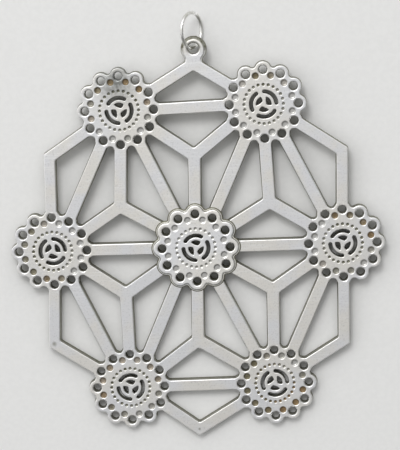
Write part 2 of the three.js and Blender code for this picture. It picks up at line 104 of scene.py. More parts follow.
def lay_table():
    ring_low, ring_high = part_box("jump_ring")
    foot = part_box("chevron_bottom")[0].y
    ring_y = (ring_low.y + ring_high.y) / 2
    lean = math.atan2(ring_low.z, ring_y - foot)
    bm = bmesh.new()
    bmesh.ops.create_grid(bm, x_segments=1, y_segments=1, size=TABLE_SIZE / 2)
    bmesh.ops.rotate(bm, cent=(0, 0, 0), matrix=Matrix.Rotation(lean, 3, "X"), verts=bm.verts)
    bmesh.ops.translate(bm, vec=(0, 0, -foot * math.tan(lean)), verts=bm.verts)
    mesh = bpy.data.meshes.new("table")
    bm.to_mesh(mesh)
    bm.free()
    table = bpy.data.objects.new("table", mesh)
    bpy.context.scene.collection.objects.link(table)
    print("table leans, degrees:", round(math.degrees(lean), 2))
    return table


table = lay_table()

# %% [markdown]
# Shader sums read best as sums. A `Value` wraps one socket, so that `1 - mask` or
# `depth * tarnish` adds the Math nodes by itself, and `Nodes.node` adds any other node
# from its type, its settings and its inputs. A `Finish` is the node tree of one material,
# and `between` goes a share of the way from one value to another.


# %% Shader helper
class Value:
    """A socket of a material. Python's operators on it add Math nodes."""

    def __init__(self, nodes, socket):
        self.nodes = nodes
        self.socket = socket

    def math(self, operation, first, second):
        return self.nodes.node("ShaderNodeMath", {"operation": operation}, {0: first, 1: second})

    def __add__(self, other):
        return self.math("ADD", self, other)

    __radd__ = __add__

    def __mul__(self, other):
        return self.math("MULTIPLY", self, other)

    __rmul__ = __mul__

    def __sub__(self, other):
        return self.math("SUBTRACT", self, other)

    def __rsub__(self, other):
        return self.math("SUBTRACT", other, self)

    def __truediv__(self, other):
        return self.math("DIVIDE", self, other)

    def at_most(self, other):
        return self.math("MINIMUM", self, other)

    def at_least(self, other):
        return self.math("MAXIMUM", self, other)


class Nodes:
    """A node tree that is built up node by node."""

    def __init__(self, tree):
        self.tree = tree

    def set(self, socket, value):
        if isinstance(value, Value):
            self.tree.links.new(value.socket, socket)
        elif socket.type == "RGBA":
            socket.default_value = (*value, 1)
        else:
            socket.default_value = value

    def node(self, kind, settings, inputs, output=0):
        made = self.tree.nodes.new(kind)
        for key, value in settings.items():
            setattr(made, key, value)
        for key, value in inputs.items():
            self.set(made.inputs[key], value)
        return Value(self, made.outputs[output])

    def ramp(self, value, low, high):
        """0 below low, 1 above high, smooth between."""
        limits = {"Value": value, "From Min": low, "From Max": high}
        return self.node("ShaderNodeMapRange", {"interpolation_type": "SMOOTHSTEP"}, limits)

    def blend(self, amount, first, second):
        """Mixes two colours."""
        settings = {"data_type": "RGBA", "blend_type": "MIX"}
        return self.node("ShaderNodeMix", settings, {0: amount, 6: first, 7: second}, 2)

    def places(self):
        return self.node("ShaderNodeTexCoord", {}, {}, "Object")

    def attribute(self, name):
        return self.node("ShaderNodeAttribute", {"attribute_name": name}, {}, "Fac")

    def axis(self, vector, name):
        return self.node("ShaderNodeSeparateXYZ", {}, {0: vector}, name)

    def stretched(self, vector, angle, scale):
        inputs = {"Vector": vector, "Rotation": (0, 0, angle), "Scale": scale}
        return self.node("ShaderNodeMapping", {}, inputs)

    def noise(self, vector, scale, detail, roughness=0.5):
        inputs = {"Vector": vector, "Scale": scale, "Detail": detail, "Roughness": roughness}
        return self.node("ShaderNodeTexNoise", {}, inputs)

    def vectors(self, operation, first, second):
        """A number from two vectors, such as their distance."""
        settings = {"operation": operation}
        return self.node("ShaderNodeVectorMath", settings, {0: first, 1: second}, "Value")

    def bump(self, height, distance, strength):
        inputs = {"Height": height, "Distance": distance, "Strength": strength}
        return self.node("ShaderNodeBump", {}, inputs)


class Finish(Nodes):
    """A material with its node tree."""

    def __init__(self, name):
        self.material = bpy.data.materials.new(name)
        self.material.use_nodes = True
        super().__init__(self.material.node_tree)
        self.shader = self.tree.nodes["Principled BSDF"]

    def surface(self, **sockets):
        for name, value in sockets.items():
            self.set(self.shader.inputs[name.replace("_", " ")], value)
        return self.material


def between(share, low, high):
    """The value that is the given share of the way from low to high."""
    return low + (high - low) * share


print("helpers ready")

# %% [markdown]
# Soft studio light. The room is like a light tent that is bright beyond the upper left
# of the picture and dark at the lower right. The flat metal mirrors its middling ceiling.
# Edges and bowls mirror its sides: what faces the upper left shows as a thin bright line,
# and what faces the lower right as a dark one. Both sides even out towards the horizon, so
# that the flats neither glare nor go black when they are seen from low down. One soft box
# beyond the top, a little to the left, draws the brightest lines and throws soft shadows.
# The Standard view shows each colour about as it is written.

# %% Room and lamp
CEILING = 0.69
BRIGHT_SIDE = 1.7
DARK_SIDE = 0.12
BRIGHT_HORIZON = 0.7
DARK_HORIZON = 0.4
BRIGHT_DIRECTION = (-0.5, 0.86, 0.1)

# Where the dark side passes into the bright one, the horizon into the sides, and the
# sides into the ceiling: cosine from the bright direction, and heights
SIDE_CHANGE = (-0.35, 0.75)
HORIZON_CHANGE = (0.15, 0.6)
CEILING_CHANGE = (0.72, 0.95)

BOX_PLACE = (-0.14, 0.45, 0.6)
BOX_SIZE = 0.3
BOX_WATTS = 2.0


def light_room():
    world = bpy.data.worlds.new("room")
    world.use_nodes = True
    room = Nodes(world.node_tree)
    towards = room.node("ShaderNodeTexCoord", {}, {}, "Generated")
    height = room.axis(towards, "Z")
    side = room.ramp(room.vectors("DOT_PRODUCT", towards, BRIGHT_DIRECTION), *SIDE_CHANGE)
    lift = room.ramp(height, *HORIZON_CHANGE)
    bright = between(lift, BRIGHT_HORIZON, BRIGHT_SIDE)
    dark = between(lift, DARK_HORIZON, DARK_SIDE)
    flank = between(side, dark, bright)
    glow = between(room.ramp(height, *CEILING_CHANGE), flank, CEILING)
    background = world.node_tree.nodes["Background"]
    room.set(background.inputs["Color"], (1, 1, 1))
    room.set(background.inputs["Strength"], glow)
    bpy.context.scene.world = world


def soft_box(name, place, size, watts):
    data = bpy.data.lights.new(name, "AREA")
    data.shape = "DISK"
    data.size = size
    data.energy = watts
    lamp = bpy.data.objects.new(name, data)
    bpy.context.scene.collection.objects.link(lamp)
    turn = Vector(place).to_track_quat("Z", "Y").to_matrix().to_4x4()
    lamp.matrix_world = Matrix.Translation(place) @ turn
    return lamp


light_room()
key_box = soft_box("key_box", BOX_PLACE, BOX_SIZE, BOX_WATTS)
bpy.context.scene.view_settings.view_transform = "Standard"
print("room and lamp:", bpy.context.scene.world.name, key_box.name)

# %% [markdown]
# Paint for the table. It is a plain pale grey, too matt to mirror the lamp, with a grain
# so faint that it only keeps the surface from looking empty. Noise on the table's own
# coordinates is enough for that, and needs no picture.

# %% Table paint
TABLE_COLOUR = (0.74, 0.74, 0.73)
TABLE_SHADE = 0.97
TABLE_GRAIN = 900
TABLE_ROUGHNESS = 0.9


def paint_table():
    paper = Finish("pale_table")
    grain = paper.noise(paper.places(), TABLE_GRAIN, 3)
    darker = tuple(TABLE_SHADE * part for part in TABLE_COLOUR)
    colour = paper.blend(paper.ramp(grain, 0.3, 0.7), TABLE_COLOUR, darker)
    table.data.materials.append(paper.surface(Base_Color=colour, Roughness=TABLE_ROUGHNESS))


paint_table()
print("table painted:", table.data.materials[0].name)

# %% [markdown]
# The metal. The real ornament is cast silvery metal whose flat faces were rubbed with a
# fine abrasive, so they have a soft shine, thin scratches that run several ways, and
# faint warm and cool patches. The rubbing never reached the side walls and the stamped
# dimples: the dimples keep brown and olive tarnish, more of it the further they are from
# the middle, and the walls are painted dull olive grey, darker the deeper they go, which is
# partly tarnish and partly painted shade. The rounded upper edges are painted near-white as
# a painted highlight. All of this is drawn with noise and masks rather than pictures, so it
# stays sharp in any close view.

# %% Metal colours
COOL_SILVER = (0.80, 0.805, 0.82)
WARM_SILVER = (0.82, 0.80, 0.755)
# Near-white for the painted highlight on the rounded edges, and for the scratches
HIGHLIGHT_AND_SCRATCH_SILVER = (0.95, 0.95, 0.94)
# Dull olive grey of the walls, darker deeper down: partly tarnish, partly painted shade
WALL_SHADE_AND_TARNISH = (0.30, 0.295, 0.25)
DEEP_WALL_SHADE_AND_TARNISH = (0.17, 0.165, 0.11)
BOWL_GREY = (0.53, 0.525, 0.505)
AMBER = (0.27, 0.18, 0.09)
OLIVE = (0.17, 0.168, 0.115)
UMBER = (0.085, 0.075, 0.05)
# Bluish grey of the painted dark reflection on the top left rosette
DARK_REFLECTION_SLATE = (0.17, 0.19, 0.195)
GRIT = (0.5, 0.5, 0.49)
print("silvers, cool, warm and edge:", COOL_SILVER, WARM_SILVER, HIGHLIGHT_AND_SCRATCH_SILVER)

# %% [markdown]
# The rubbed flats. A scratch is a noise that is stretched very long in one direction and
# cut off high, so that only its crests are left, and a softer noise breaks it into
# patches, which are of another size for each angle. Three directions together look like
# strokes of a hand. A wide noise tells warm silver from cool, and a fine one gives grit.

# %% Rubbed flats
SCRATCH_ANGLES = (0.6, -0.5, 1.45)
SCRATCH_STRETCH = (90, 2600, 90)
SCRATCH_SHINE = 0.4
WARMTH_SCALE = 95
GRAIN_SCALE = 2400
GRIT_SHARE = 0.35


def scratches(metal, places):
    """Thin marks in a few directions, 1 where there is one."""
    marks = None
    for angle in SCRATCH_ANGLES:
        lines = metal.noise(metal.stretched(places, angle, SCRATCH_STRETCH), 1, 3, 0.6)
        patches = metal.noise(places, 160 + 60 * angle, 1)
        mark = metal.ramp(lines, 0.57, 0.66) * metal.ramp(patches, 0.4, 0.6)
        marks = mark if marks is None else marks.at_least(mark)
    return marks


def rubbed_silver(metal, places, marks, grain, brightness):
    """Colour of the flat faces, with their scratches and their grit."""
    warmth = metal.ramp(metal.noise(places, WARMTH_SCALE, 3, 0.55), 0.38, 0.62)
    cool = tuple(brightness * part for part in COOL_SILVER)
    warm = tuple(brightness * part for part in WARM_SILVER)
    silver = metal.blend(warmth, cool, warm)
    silver = metal.blend(marks * SCRATCH_SHINE, silver, HIGHLIGHT_AND_SCRATCH_SILVER)
    return metal.blend(metal.ramp(grain, 0.5, 0.75) * GRIT_SHARE, silver, GRIT)


print("scratches run", len(SCRATCH_ANGLES), "ways")

# %% [markdown]
# One recipe for all cast pieces. How steep a face is tells flats, edges and walls apart:
# the rounded edges get a painted highlight, and the walls a dark colour that is partly
# tarnish and partly painted shade. The rosettes also carry three values on their points:
# `bowl` is 1 inside a dimple and a little less inside a pit, where nothing was rubbed,
# `tarnish` is how stained it is, and `tarnish_hue` goes from amber brown to olive. A piece
# with more marks than that hands in a function that gives one more mask, of stains or of
# painted shade, and it may name the colour of that mask.

# %% Cast metal
# Steepness is 0 on a flat face, 1 on an upright wall and 2 on the back
EDGE_STARTS = (0.05, 0.25)
EDGE_ENDS = (0.45, 0.8)
WALL_STARTS = (0.5, 0.85)
# How far the rounded edges are painted near-white, a painted highlight
EDGE_HIGHLIGHT = 0.8
# Depths over which the walls darken towards the deeper colour, which is painted shade
DEEP_WALL_SHADE_DEPTHS = (0.2, 0.9)
MOTTLE_SCALE = 1100
BUMP_DISTANCE = 0.00002


def metal_finish(name, top, brightness=1.0, dirt_and_shade=None, dirt_and_shade_colour=OLIVE):
    """Cast metal whose flat upper face is at height top, in metres.

    A function may add a mask besides the bowls, of stains or of painted shade, in its own colour.
    """
    metal = Finish(name)
    places = metal.places()
    steep = 1 - metal.axis(metal.node("ShaderNodeNewGeometry", {}, {}, "Normal"), "Z")
    depth = (top - metal.axis(places, "Z")) / top
    marks = scratches(metal, places)
    grain = metal.noise(places, GRAIN_SCALE, 2)
    bowl = metal.attribute("bowl")
    edge = metal.ramp(steep, *EDGE_STARTS) * (1 - metal.ramp(steep, *EDGE_ENDS)) * (1 - bowl)
    wall = metal.ramp(steep, *WALL_STARTS) * (1 - bowl)

    colour = rubbed_silver(metal, places, marks, grain, brightness)
    # Painted highlight: the rounded edges between flat and wall are painted near-white
    colour = metal.blend(edge * EDGE_HIGHLIGHT, colour, HIGHLIGHT_AND_SCRATCH_SILVER)
    # Walls: painted dull olive grey, darker deeper down, partly tarnish and partly painted shade
    wall_shade_and_tarnish = metal.blend(metal.ramp(depth, *DEEP_WALL_SHADE_DEPTHS), WALL_SHADE_AND_TARNISH, DEEP_WALL_SHADE_AND_TARNISH)
    colour = metal.blend(wall, colour, wall_shade_and_tarnish)
    colour = metal.blend(bowl, colour, BOWL_GREY)

    mottle = metal.ramp(metal.noise(places, MOTTLE_SCALE, 2), 0.36, 0.62)
    amount = metal.attribute("tarnish")
    stain_and_shade_colour = metal.blend(metal.attribute("tarnish_hue"), AMBER, OLIVE)
    if dirt_and_shade:
        # The extra mask is a stain, painted shade or a painted dark reflection, depending on the
        # piece
        extra = dirt_and_shade(metal, places, depth) * (1 - bowl)
        amount = amount.at_least(extra)
        stain_and_shade_colour = metal.blend(metal.ramp(extra, 0, 0.15), stain_and_shade_colour, dirt_and_shade_colour)
    amount = (amount * (1.15 + 0.35 * mottle)).at_most(1)
    stain_and_shade_colour = metal.blend(mottle * 0.45, stain_and_shade_colour, UMBER)
    colour = metal.blend(amount, colour, stain_and_shade_colour)

    dull = wall.at_least(amount)
    return metal.surface(
        Base_Color=colour,
        Metallic=1 - 0.3 * dull,
        Roughness=0.33 + 0.12 * grain + 0.15 * dull - 0.08 * edge - 0.05 * bowl,
        Normal=metal.bump(grain * 0.5 - marks * 0.6, BUMP_DISTANCE, 0.5),
    )


print("recipe for cast metal ready")

# %% [markdown]
# Marks besides the bowls. Two outer corners of the web carry a small dark mark. On the
# centre rosette, painted shade darkens the corner at the foot of its face and, more
# faintly, all below the top of its step, and a dark line of painted shade and tarnish runs
# along the edge of that step. A bluish-grey painted dark reflection lies over the upper
# part of the top left rosette. Each is a mask by place or by depth below the face, so the
# mesh needs no points of its own for it. The three functions take the same things, so that
# the recipe can call any of them.

# %% Dirt and painted shade
# Dark marks at outer corners: x, y and radius in millimetres, and strength
SPOTS = ((-35.5, -23.0, 0.9, 0.55), (-0.7, -45.2, 0.5, 0.55))
# Where the painted dark reflection on the top left rosette lies, how far it spreads and how dark it
# is
DARK_REFLECTION_BELOW_TOP = 3.8 * MM
DARK_REFLECTION_RADII = (1 * MM, 8 * MM)
DARK_REFLECTION_STRENGTH = 0.6
PLATE_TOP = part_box("spoke_left")[1].z
FACE_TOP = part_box("centre_rosette")[1].z


def spots_at_corners(metal, places, depth):
    """Small dark marks at two outer corners of the web."""
    marks = 0
    for x, y, radius, strength in SPOTS:
        away = metal.vectors("DISTANCE", places, (x * MM, y * MM, PLATE_TOP))
        marks = marks + (1 - metal.ramp(away, 0, radius * MM)) * strength
    return marks


def step_shade_and_tarnish(metal, places, depth):
    """Painted shade at the foot of the face and, faintly, below the top of the low step, and a line
    of painted shade and tarnish along the step's edge.
    """
    corner = metal.ramp(depth, 0.09, 0.12)
    step = metal.ramp(depth, 0.16, 0.166)
    edge = metal.ramp(depth, 0.167, 0.172)
    return (edge * 0.75 + corner * (1 - step) * 0.7 + step * 0.15).at_most(1)


def painted_dark_reflection(metal, places, depth):
    """A painted dark reflection over the upper part of the top left rosette."""
    low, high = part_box("rosette_top_left")
    spot = ((low.x + high.x) / 2, high.y - DARK_REFLECTION_BELOW_TOP, PLATE_TOP)
    away = metal.vectors("DISTANCE", places, spot) + metal.noise(places, 300, 3) * 2 * MM
    return (1 - metal.ramp(away, *DARK_REFLECTION_RADII)) * DARK_REFLECTION_STRENGTH


bar_metal = metal_finish("bar_metal", PLATE_TOP, 1.0, spots_at_corners)
# The outer rosettes' metal has a painted dark reflection over the top left one
rosette_metal = metal_finish("rosette_metal", PLATE_TOP, 1.0, painted_dark_reflection, DARK_REFLECTION_SLATE)
# The centre rosette's metal has painted shade at the foot of its face and along its step
centre_metal = metal_finish("centre_metal", FACE_TOP, 1.06, step_shade_and_tarnish)
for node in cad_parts.values():
    node.data.materials.clear()
    node.data.materials.append(bar_metal)
print("finishes:", bar_metal.name, rosette_metal.name, centre_metal.name)

# %% [markdown]
# The wire of the jump ring is drawn, not cast, so it has no rubbed flats and no dull
# walls. It is smoother than the plate, and a thin olive film lies on it in patches.

# %% Wire
WIRE_SILVER = (0.84, 0.84, 0.82)
WIRE_FILM = (0.42, 0.41, 0.33)
WIRE_FILM_SCALE = 500


def wire_finish():
    wire = Finish("wire_metal")
    film = wire.ramp(wire.noise(wire.places(), WIRE_FILM_SCALE, 2), 0.45, 0.75)
    colour = wire.blend(film * 0.5, WIRE_SILVER, WIRE_FILM)
    return wire.surface(Base_Color=colour, Metallic=1.0, Roughness=0.27 + 0.15 * film)


wire_metal = wire_finish()
print("finish:", wire_metal.name)

# %% [markdown]
# Lines and walls. Every flat piece of the ornament was cast, so its outline is the same at
# each height but for a slight lean and a rounded upper edge. It could be carved out of
# blocks with booleans, but those leave ragged edges. Instead a pen draws the outline as a
# closed line at each height, by spinning its tip round a centre or pulling it straight.
# Bridging the lines gives the wall, and filling the first and the last one gives the back
# and the face.

# %% Pen
# Two points that are nearer than this are one point
CLOSE = 0.001


def polar(radius, angle, centre=(0, 0)):
    return Vector((centre[0] + radius * math.cos(angle), centre[1] + radius * math.sin(angle)))


def bearing(vector):
    return math.atan2(vector.y, vector.x)


class Pen:
    """Draws one closed line at one height."""

    def __init__(self, bm, height):
        self.bm = bm
        self.height = height
        self.tip = None

    def move(self, spot):
        """Starts the line, or pulls it straight to the spot."""
        if self.tip is None:
            self.tip = self.first = self.bm.verts.new()
        else:
            self.tip = bmesh.ops.extrude_vert_indiv(self.bm, verts=[self.tip])["verts"][0]
        self.tip.co = (*spot, self.height)

    def arc(self, centre, sweep, steps):
        made = bmesh.ops.spin(
            self.bm, geom=[self.tip], cent=(*centre, 0), axis=(0, 0, 1), angle=sweep, steps=steps
        )
        self.tip = next(item for item in made["geom_last"] if isinstance(item, bmesh.types.BMVert))

    def close(self):
        if (self.tip.co - self.first.co).length > CLOSE:
            self.move(self.first.co.xy)
        bmesh.ops.weld_verts(self.bm, targetmap={self.tip: self.first})


def draw_circle(pen, radius, centre, steps):
    pen.move((centre[0] + radius, centre[1]))
    pen.arc(centre, 2 * math.pi, steps)


print("pen ready")


# %% Walls and flats
def parts_of(bm):
    return {*bm.verts, *bm.edges, *bm.faces}


def raise_wall(bm, draw, levels):
    """A wall through the lines that draw makes for each (height, shape) of levels."""
    lines = []
    for height, shape in levels:
        before = parts_of(bm)
        pen = Pen(bm, height)
        draw(pen, shape)
        pen.close()
        lines.append([edge for edge in bm.edges if edge not in before])
    for lower, upper in zip(lines, lines[1:]):
        bmesh.ops.bridge_loops(bm, edges=lower + upper)


def fill_flats(bm, base, face):
    """Fills the back and the face between all walls that end there."""
    for height in (base, face):
        edges = [
            edge
            for edge in bm.edges
            if edge.is_boundary and all(abs(vert.co.z - height) < CLOSE for vert in edge.verts)
        ]
        bmesh.ops.triangle_fill(bm, edges=edges, use_beauty=True)


print("walls ready")

# %% [markdown]
# A drawn piece becomes an object. Its millimetres are scaled to metres, and only its flat
# faces are shaded flat, so the walls look round without more points. Then the piece is
# hung under the empty of the body that it rides, and the node of the model that it stands
# for is hidden.

# %% Finished pieces
# A face whose upward share is more than this counts as flat
FLAT = 0.9999


def finish_piece(name, bm, material, node):
    """Turns drawn millimetres into a piece that stands for a node of the model."""
    bmesh.ops.recalc_face_normals(bm, faces=bm.faces)
    for face in bm.faces:
        face.smooth = abs(face.normal.z) < FLAT
    bmesh.ops.scale(bm, vec=(MM, MM, MM), verts=bm.verts)
    mesh = bpy.data.meshes.new(name)
    bm.to_mesh(mesh)
    bm.free()
    mesh.materials.append(material)
    piece = bpy.data.objects.new(name, mesh)
    bpy.context.scene.collection.objects.link(piece)
    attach(piece, "jump_ring" if node == "jump_ring" else "snowflake")
    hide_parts(node)
    return piece


print("flat means within", round(math.degrees(math.acos(FLAT)), 1), "degrees")

# %% [markdown]
# Where everything stands. Seven rosettes stand in a slightly tall hexagon. The star was
# put together by hand, so everything is up to a millimetre off a regular star. Each bar
# runs to the hole that faces it, and its end flares into the lobe round that hole. The
# swirl of every second rosette is turned by two holes.

# %% Layout, in millimetres
ROSETTES = {
    "centre": Vector((0, 0)),
    "right": Vector((35.4, 0.1)),
    "top_right": Vector((17.3, 34.2)),
    "top_left": Vector((-17.3, 33.7)),
    "left": Vector((-34.8, 0)),
    "bottom_left": Vector((-17.2, -34.3)),
    "bottom_right": Vector((18.1, -34.1)),
}
OUTER = list(ROSETTES)[1:]
TURNED = ("top_right", "left", "bottom_right")
SIDES = ("upper_right", "top", "upper_left", "lower_left", "bottom", "lower_right")
FORK_POINTS = ((18, 10.6), (0.3, 22.3), (-18, 10.5), (-17.5, -11.1), (-0.3, -23), (18.3, -10.8))
APEX_POINTS = ((35.7, 22.5), (0.8, 44.3), (-34.6, 22.9), (-35.5, -23), (-0.7, -45.3), (35.2, -23.8))
PLATE_THICKNESS = 2.0
HOLES = 12
LOBE_TURN = 2 * math.pi / HOLES
HOLE_CIRCLE = 8.24
LOBE_RADIUS = 2.1
VALLEY_RADIUS = 0.7
print("rosettes at", {place: tuple(at) for place, at in ROSETTES.items()})

# %% [markdown]
# Bars. A bar ends where its flare meets the round lobe, on a flat across the bar. A fork
# is three bars that meet in one point, a chevron is two, and a straight bar can be drawn
# the same way from its middle. Inner corners are small cast fillets and outer corners
# are worn round. Each rosette keeps a list of the bars that meet it, so that its lobes
# can be cut to fit them later.

# %% Arms of a bar
SPOKE_WIDTH = 3.2
RIM_BAR_WIDTH = 3.15
FORK_WIDTH = 3.3
CHEVRON_WIDTH = 3.05
FLARE_RADIUS = 0.7

seats = {place: [] for place in ROSETTES}


def facing_lobe(place, point):
    """Middle of the hole of a rosette that faces a point."""
    number = round(bearing(point - ROSETTES[place]) / LOBE_TURN)
    return polar(HOLE_CIRCLE, number * LOBE_TURN, ROSETTES[place])


def arm_to(point, place, half_width):
    """Direction and length of a bar from a point to the facing lobe of a rosette."""
    lobe = facing_lobe(place, point)
    seats[place].append((lobe, bearing(point - lobe), half_width))
    return bearing(lobe - point), (lobe - point).length


def flare_of(half_width):
    """Where the flare starts and where the bar's flat end stands, from the hole's middle."""
    reach = LOBE_RADIUS + FLARE_RADIUS
    start = math.sqrt(reach**2 - (half_width + FLARE_RADIUS) ** 2)
    return start, start * LOBE_RADIUS / reach


flare = [round(distance, 2) for distance in flare_of(SPOKE_WIDTH / 2)]
print("a spoke's flare and flat end, mm from the hole:", flare)

# %% Outline of a web of bars
# How far the metal stands behind its widest line, at heights from the back to the face
CAST_EDGE = ((0.0, 0.0), (1.74, 0.16), (1.87, 0.2), (1.955, 0.27), (PLATE_THICKNESS, 0.37))
INNER_CORNER_RADIUS = 0.5
OUTER_CORNER_RADIUS = 0.8
CURVE_STEPS = 6

# Two arms whose turn is this close to a half turn make a straight bar with no corner
STRAIGHT = 0.001


def draw_arm(pen, origin, angle, length, half_width, inset):
    """Out along the right side of an arm, round its flat end and back on its left side."""
    start, seat = flare_of(half_width)
    radius = FLARE_RADIUS + inset
    sweep = math.asin((start - seat) / radius)
    along = polar(1, angle)
    across = Vector((-along.y, along.x))
    foot = origin + along * (length - start)
    lift = half_width + FLARE_RADIUS
    end = foot + along * (start - seat)
    pen.move(foot - across * (half_width - inset))
    pen.arc(foot - across * lift, -sweep, CURVE_STEPS)
    pen.move(end + across * (lift - radius * math.cos(sweep)))
    pen.arc(foot + across * lift, -sweep, CURVE_STEPS)


def draw_corner(pen, origin, angle, turn, half_width, inset):
    """The rounded corner between the left side of one arm and the right side of the next."""
    side = -1 if turn < math.pi else 1
    radius = INNER_CORNER_RADIUS if turn < math.pi else OUTER_CORNER_RADIUS
    centre = polar((half_width - side * radius) / math.sin(turn / 2), angle + turn / 2, origin)
    pen.move(polar(side * (radius - side * inset), angle + math.pi / 2, centre))
    pen.arc(centre, turn - math.pi, CURVE_STEPS)


def draw_web(pen, inset, origin, arms, half_width, corner=draw_corner):
    for (angle, length), (following, _) in zip(arms, arms[1:] + arms[:1]):
        turn = (following - angle) % (2 * math.pi)
        draw_arm(pen, origin, angle, length, half_width, inset)
        if abs(turn - math.pi) > STRAIGHT:
            corner(pen, origin, angle, turn, half_width, inset)


print("corners, inner and outer, mm:", INNER_CORNER_RADIUS, OUTER_CORNER_RADIUS)


# %% Bars, forks and chevrons
def cast_web(name, origin, arms, half_width):
    bm = bmesh.new()
    raise_wall(bm, lambda pen, inset: draw_web(pen, inset, origin, arms, half_width), CAST_EDGE)
    fill_flats(bm, 0, PLATE_THICKNESS)
    return finish_piece(name + "_metal", bm, bar_metal, name)


def make_web(name, point, places, width):
    """A fork or a chevron: arms from one point to two or three rosettes."""
    origin = Vector(point)
    arms = sorted(arm_to(origin, place, width / 2) for place in places)
    return cast_web(name, origin, arms, width / 2)


def make_bar(name, start, end, width):
    """A straight bar, drawn from its middle. Its two arms face opposite ways."""
    origin = (facing_lobe(start, ROSETTES[end]) + facing_lobe(end, ROSETTES[start])) / 2
    arms = [arm_to(origin, place, width / 2) for place in (start, end)]
    return cast_web(name, origin, arms, width / 2)


for number, place in enumerate(OUTER):
    neighbour = OUTER[(number + 1) % len(OUTER)]
    side = SIDES[number]
    make_bar("spoke_" + place, "centre", place, SPOKE_WIDTH)
    make_bar("rim_bar_" + side, place, neighbour, RIM_BAR_WIDTH)
    make_web("fork_" + side, FORK_POINTS[number], ("centre", place, neighbour), FORK_WIDTH)
    if side != "top":
        make_web("chevron_" + side, APEX_POINTS[number], (place, neighbour), CHEVRON_WIDTH)
print("seats on each rosette:", {place: len(found) for place, found in seats.items()})

# %% [markdown]
# The hanging eye. It grows out of the top chevron's corner like a thick ring. Its upper
# half was rubbed down by the jump ring, so a narrow land round the hole slopes off to the
# outer edge there, and fades into a flat neck towards the chevron. Its outline is the
# chevron's with a round in place of the corner, and towards the face that round gets
# smaller and moves down. The hole stands a little above the middle of the round. Its
# upper lip is worn round, so the ring's wire clears it over its whole turn.

# %% Sizes of the eye, in millimetres
EYE = Vector((0.95, 47.75))
EYE_HOLE_CENTRE = EYE + Vector((0, 0.25))
EYE_HOLE_RADIUS = 1.25
EYE_RADIUS = 3.12
EYE_FILLET_RADIUS = 0.75
EYE_STEPS = 48

# Heights with the inset of the bars, the inset of the eye's round and its drop
EYE_EDGE = (
    (0.0, (0.0, 0.0, 0.0)),
    (0.8, (0.07, 0.07, 0.0)),
    (1.1, (0.1, 0.12, 0.01)),
    (1.3, (0.12, 0.18, 0.02)),
    (1.55, (0.145, 0.3, 0.04)),
    (1.74, (0.16, 0.43, 0.06)),
    (1.87, (0.2, 0.55, 0.09)),
    (1.955, (0.27, 0.66, 0.13)),
    (PLATE_THICKNESS, (0.37, 0.78, 0.2)),
)

# Heights with the radius of the eye's hole
EYE_HOLE = (
    (0.0, 1.7),
    (0.12, 1.5),
    (0.4, 1.3),
    (1.0, EYE_HOLE_RADIUS),
    (1.4, 1.28),
    (1.65, 1.35),
    (1.82, 1.45),
    (1.94, 1.57),
    (PLATE_THICKNESS, 1.74),
)
print("eye, mm:", tuple(EYE), "radius", EYE_RADIUS)

# %% [markdown]
# The eye's slope and the lip of its hole were worn rough and took on dirt, but only in
# the upper half, where the ring rubs. Distance from the eye's middle tells slope and lip
# from the land between them.


# %% Finish of the eye
def worn_slope(metal, places, depth):
    """The slope and the lip of the hole in the eye's upper half."""
    away = metal.vectors("DISTANCE", places, (*(EYE * MM), 1.8 * MM))
    upper = metal.ramp(metal.axis(places, "Y"), (EYE.y - 1.5) * MM, (EYE.y + 0.8) * MM)
    slope = metal.ramp(away, 2.1 * MM, 2.6 * MM)
    lip = 1 - metal.ramp(away, 1.7 * MM, 2.1 * MM)
    return (slope * 0.7 + lip * 0.4) * upper


eye_metal = metal_finish("eye_metal", PLATE_TOP, 1.0, worn_slope)
print("finish:", eye_metal.name)


# %% Eye
def fillet_to_eye(origin, angle, side, half_width, radius, eye, eye_radius):
    """Centre, turn and foot of the fillet between a side of an arm and the eye."""
    along = polar(1, angle)
    out = polar(side, angle + math.pi / 2)
    lift = half_width + radius
    rise = out.dot(eye - origin) - lift
    slide = along.dot(eye - origin) + math.sqrt((eye_radius + radius) ** 2 - rise**2)
    centre = origin + along * slide + out * lift
    sweep = side * (bearing(eye - centre) - bearing(-out)) % (2 * math.pi) - 2 * math.pi
    return centre, sweep, centre - out * radius


def draw_eye(pen, shape, origin, arms, half_width):
    """The chevron's outline with fillets and the eye's round in place of its outer corner."""
    web_inset, eye_inset, drop = shape
    eye = EYE - Vector((0, drop))
    eye_radius = EYE_RADIUS - eye_inset
    fillet = EYE_FILLET_RADIUS + web_inset

    def eye_corner(pen, origin, angle, turn, half_width, inset):
        if turn < math.pi:
            draw_corner(pen, origin, angle, turn, half_width, inset)
            return
        sizes = (half_width - inset, fillet, eye, eye_radius)
        right, right_sweep, foot = fillet_to_eye(origin, angle, 1, *sizes)
        left, left_sweep, _ = fillet_to_eye(origin, angle + turn, -1, *sizes)
        eye_sweep = (bearing(left - eye) - bearing(right - eye)) % (2 * math.pi)
        pen.move(foot)
        pen.arc(right, right_sweep, CURVE_STEPS)
        pen.arc(eye, eye_sweep, EYE_STEPS)
        pen.arc(left, left_sweep, CURVE_STEPS)

    draw_web(pen, web_inset, origin, arms, half_width, eye_corner)


def draw_eye_hole(pen, radius):
    draw_circle(pen, radius, EYE_HOLE_CENTRE, EYE_STEPS)


def make_eye_chevron():
    origin = Vector(APEX_POINTS[SIDES.index("top")])
    half_width = CHEVRON_WIDTH / 2
    arms = sorted(arm_to(origin, place, half_width) for place in ("top_right", "top_left"))
    bm = bmesh.new()
    raise_wall(bm, lambda pen, shape: draw_eye(pen, shape, origin, arms, half_width), EYE_EDGE)
    raise_wall(bm, draw_eye_hole, EYE_HOLE)
    fill_flats(bm, 0, PLATE_THICKNESS)
    return finish_piece("eye_chevron", bm, eye_metal, "chevron_top_with_eye")


print("eye made:", make_eye_chevron().name)

